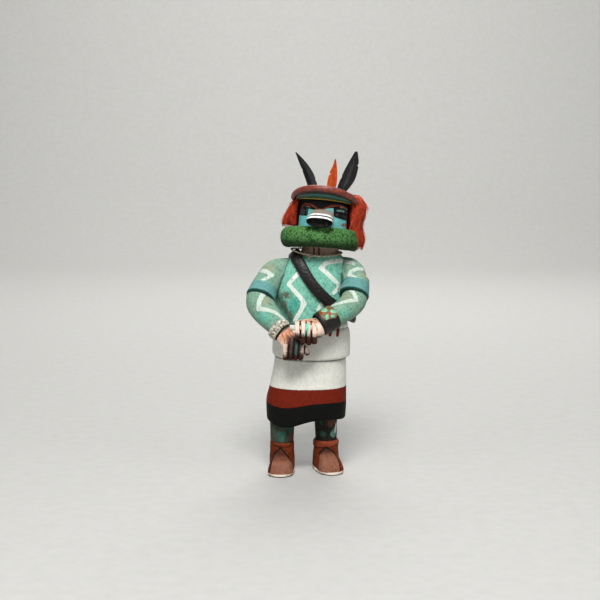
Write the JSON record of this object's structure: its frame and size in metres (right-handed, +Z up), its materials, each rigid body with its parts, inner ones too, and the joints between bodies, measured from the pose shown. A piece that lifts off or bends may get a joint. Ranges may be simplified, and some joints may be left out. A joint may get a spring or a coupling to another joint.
{
  "type": "kachina doll",
  "caption": "Carved and painted wooden kachina doll standing on two moccasins, with masked head, visor, ruff, hair, feathers, kilt and a strap across the chest.",
  "frame": {"origin": "on the ground, under the middle of the doll's bounding box", "axes": "+Z up along the doll's height, -Y to the front, the way it faces, +X to the doll's left"},
  "size_m": [0.1038, 0.082, 0.2738],
  "materials": {
    "painted_cottonwood": "matt casein-like paint on carved wood: turquoise body, white kilt with red and black borders",
    "visor_paint": "satin red-brown paint on carved wood, banded turquoise, green and yellow below",
    "snout_paint": "satin black paint with white rings on carved wood",
    "ruff_paint": "matt stippled green paint on carved wood",
    "dyed_hair": "red-dyed loose fibre",
    "black_feather_paint": "satin black paint on thin carved slats",
    "orange_feather_paint": "satin orange paint on a thin carved slat",
    "dark_leather": "worn black-brown leather",
    "tan_cord": "plain twisted cord",
    "guard_leather": "black-brown leather with painted turquoise spots",
    "wrist_band_paint": "grey-white painted band with dark marks"
  },
  "bodies": {
    "root": {"carved_figure": "painted_cottonwood", "visor": "visor_paint", "snout": "snout_paint", "ruff": "ruff_paint", "hair": "dyed_hair", "right_black_feather": "black_feather_paint", "left_black_feather": "black_feather_paint", "orange_feather": "orange_feather_paint", "bandolier": "dark_leather", "neck_cord": "tan_cord", "bow_guard": "guard_leather", "wrist_band": "wrist_band_paint"}
  },
  "joints": []
}
